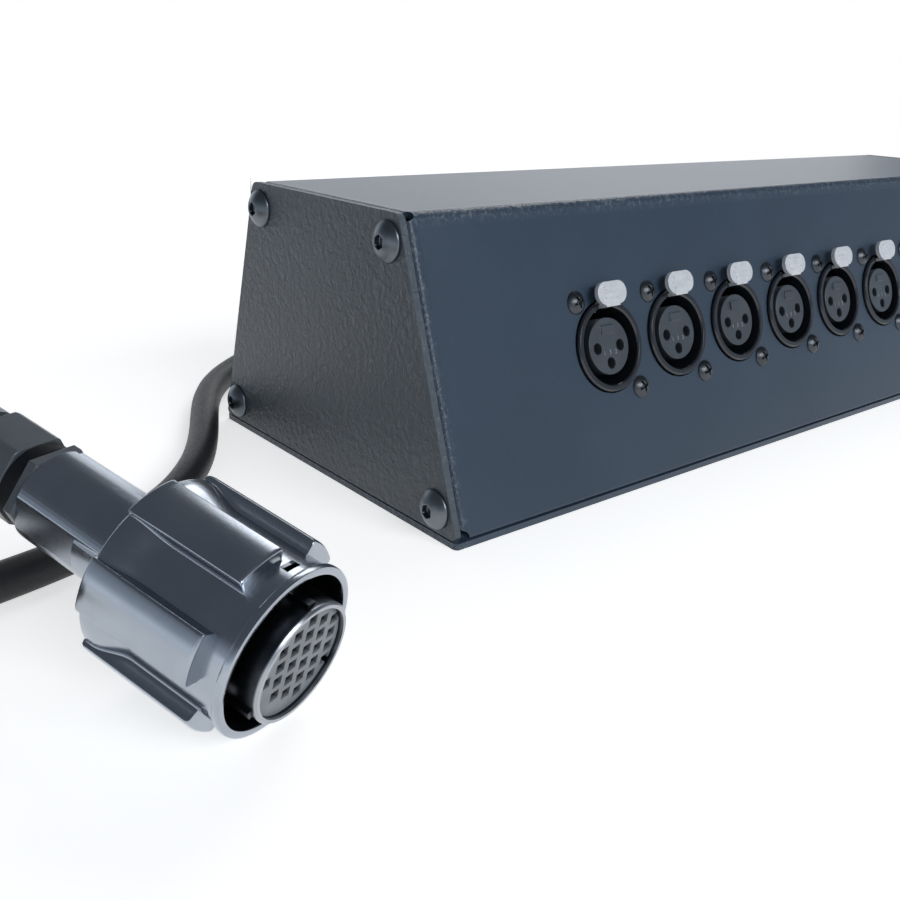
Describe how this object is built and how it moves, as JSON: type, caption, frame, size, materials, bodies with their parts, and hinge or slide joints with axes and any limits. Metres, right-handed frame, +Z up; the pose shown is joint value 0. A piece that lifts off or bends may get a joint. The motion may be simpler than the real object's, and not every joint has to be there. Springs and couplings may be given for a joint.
{
  "type": "stage box snake",
  "caption": "Wedge-shaped steel stage box with a row of latching sockets, and a coiled multicore tail ending in a bayonet multipin plug.",
  "frame": {"origin": "under the middle of the box's base plate, without the cable, its gland and its plug", "axes": "+X along the box, +Z up, the sloping connector panel faces -Y"},
  "size_m": [0.5501, 0.2187, 0.0708],
  "materials": {
    "end_paint": "textured grey powder coat",
    "shell_paint": "fine textured slate powder coat",
    "steel_zinc": "zinc plated",
    "steel_black": "blackened steel",
    "die_cast": "satin dark die-cast",
    "insert_plastic": "matte",
    "latch_metal": "bright satin",
    "contact_metal": "gold plated",
    "wire_jacket": "matte",
    "nylon": "moulded",
    "cord_rubber": "matte cable jacket",
    "tie_fabric": "hook and loop tape",
    "plug_metal": "dark anodised",
    "plug_bright": "worn anodised",
    "plug_insert": "grey moulded",
    "seal_rubber": "matte"
  },
  "bodies": {
    "box": {"end_plate_left": "end_paint", "end_plate_right": "end_paint", "body_shell": "shell_paint", "base_plate": "shell_paint", "end_screws_left": "steel_black", "end_screws_right": "steel_black", "base_screws": "steel_black", "xlr_screws": "steel_black", "end_nuts_left": "steel_zinc", "end_nuts_right": "steel_zinc", "base_nuts": "steel_zinc", "xlr_screw_nuts": "steel_zinc", "xlr_housing_1": "die_cast", "xlr_insert_1": "insert_plastic", "xlr_housing_2": "die_cast", "xlr_insert_2": "insert_plastic", "xlr_housing_3": "die_cast", "xlr_insert_3": "insert_plastic", "xlr_housing_4": "die_cast", "xlr_insert_4": "insert_plastic", "xlr_housing_5": "die_cast", "xlr_insert_5": "insert_plastic", "xlr_housing_6": "die_cast", "xlr_insert_6": "insert_plastic", "xlr_housing_7": "die_cast", "xlr_insert_7": "insert_plastic", "xlr_housing_8": "die_cast", "xlr_insert_8": "insert_plastic", "xlr_contacts": "contact_metal", "wiring_loom": "wire_jacket", "gland_body": "nylon", "gland_locknut": "nylon", "gland_nut": "nylon", "gland_seal": "seal_rubber", "cord_box_run": "cord_rubber", "cord_coil": "cord_rubber", "cord_plug_run": "cord_rubber", "coil_tie": "tie_fabric", "plug_barrel": "plug_metal", "plug_backshell": "plug_metal", "plug_gland_nut": "plug_metal", "plug_dome_nut": "plug_metal", "plug_retaining_ring": "plug_bright", "plug_flange": "plug_bright", "plug_insert": "plug_insert", "plug_contacts": "contact_metal", "plug_seal": "seal_rubber"},
    "coupling_ring": {"plug_coupling_ring": "plug_metal"},
    "latch_1": {"xlr_latch_1": "latch_metal"},
    "latch_2": {"xlr_latch_2": "latch_metal"},
    "latch_3": {"xlr_latch_3": "latch_metal"},
    "latch_4": {"xlr_latch_4": "latch_metal"},
    "latch_5": {"xlr_latch_5": "latch_metal"},
    "latch_6": {"xlr_latch_6": "latch_metal"},
    "latch_7": {"xlr_latch_7": "latch_metal"},
    "latch_8": {"xlr_latch_8": "latch_metal"}
  },
  "joints": [
    {"name": "latch_1_press", "type": "hinge", "parent": "box", "child": "latch_1", "pos_m": [-0.0945, -0.03021, 0.04285], "axis": [-1, 0, 0], "range_deg": [0, 7], "stiffness_Nm_per_rad": 0.4},
    {"name": "latch_2_press", "type": "hinge", "parent": "box", "child": "latch_2", "pos_m": [-0.0675, -0.03021, 0.04285], "axis": [-1, 0, 0], "range_deg": [0, 7], "stiffness_Nm_per_rad": 0.4},
    {"name": "latch_3_press", "type": "hinge", "parent": "box", "child": "latch_3", "pos_m": [-0.0405, -0.03021, 0.04285], "axis": [-1, 0, 0], "range_deg": [0, 7], "stiffness_Nm_per_rad": 0.4},
    {"name": "latch_4_press", "type": "hinge", "parent": "box", "child": "latch_4", "pos_m": [-0.0135, -0.03021, 0.04285], "axis": [-1, 0, 0], "range_deg": [0, 7], "stiffness_Nm_per_rad": 0.4},
    {"name": "latch_5_press", "type": "hinge", "parent": "box", "child": "latch_5", "pos_m": [0.0135, -0.03021, 0.04285], "axis": [-1, 0, 0], "range_deg": [0, 7], "stiffness_Nm_per_rad": 0.4},
    {"name": "latch_6_press", "type": "hinge", "parent": "box", "child": "latch_6", "pos_m": [0.0405, -0.03021, 0.04285], "axis": [-1, 0, 0], "range_deg": [0, 7], "stiffness_Nm_per_rad": 0.4},
    {"name": "latch_7_press", "type": "hinge", "parent": "box", "child": "latch_7", "pos_m": [0.0675, -0.03021, 0.04285], "axis": [-1, 0, 0], "range_deg": [0, 7], "stiffness_Nm_per_rad": 0.4},
    {"name": "latch_8_press", "type": "hinge", "parent": "box", "child": "latch_8", "pos_m": [0.0945, -0.03021, 0.04285], "axis": [-1, 0, 0], "range_deg": [0, 7], "stiffness_Nm_per_rad": 0.4},
    {"name": "coupling_ring_turn", "type": "hinge", "parent": "box", "child": "coupling_ring", "pos_m": [-0.2159, -0.0875, 0.01536], "axis": [0.3254, -0.9118, -0.2504], "range_deg": [0, 110]}
  ]
}
